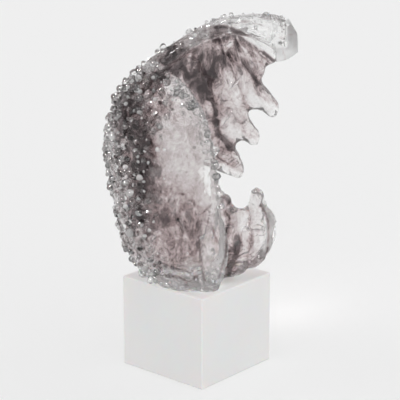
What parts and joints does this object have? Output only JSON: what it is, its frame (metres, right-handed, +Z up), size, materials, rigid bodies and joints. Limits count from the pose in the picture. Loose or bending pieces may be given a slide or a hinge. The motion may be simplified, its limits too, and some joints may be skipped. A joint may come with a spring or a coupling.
{
  "type": "glass wave sculpture",
  "caption": "Breaking-wave sculpture of smoky and clear hot-worked glass, coated in granules, with a fingered crest and horned lip, bonded on a frosted block.",
  "frame": {"origin": "centre of the block's underside", "axes": "+X along the wave toward its breaking crest, +Y away from the near petal, +Z up"},
  "size_m": [0.1792, 0.1398, 0.3421],
  "materials": {
    "frosted_block": "frosted, pale grey white",
    "bond_film": "clear cured adhesive",
    "smoked_glass": "fire-polished, smoky violet grey swirls",
    "clear_glass": "fire-polished, clear",
    "granule_glass": "clear granules, softly melted"
  },
  "bodies": {
    "root": {"plinth_block": "frosted_block", "foot_bond": "bond_film", "foot_gather": "clear_glass", "near_petal": "smoked_glass", "back_wall": "smoked_glass", "crest_hood": "smoked_glass", "lower_lip": "smoked_glass", "lip_keel": "clear_glass", "crest_brow": "clear_glass", "crest_tip": "clear_glass", "crest_finger_upper": "clear_glass", "crest_finger_middle": "clear_glass", "crest_finger_lower": "clear_glass", "lip_horn_left": "clear_glass", "lip_horn_right": "clear_glass", "rim_column": "clear_glass", "rim_beads": "granule_glass", "petal_granules": "granule_glass", "back_granules": "granule_glass", "crest_granules": "granule_glass", "brow_granules": "granule_glass", "lip_granules": "granule_glass"}
  },
  "joints": []
}
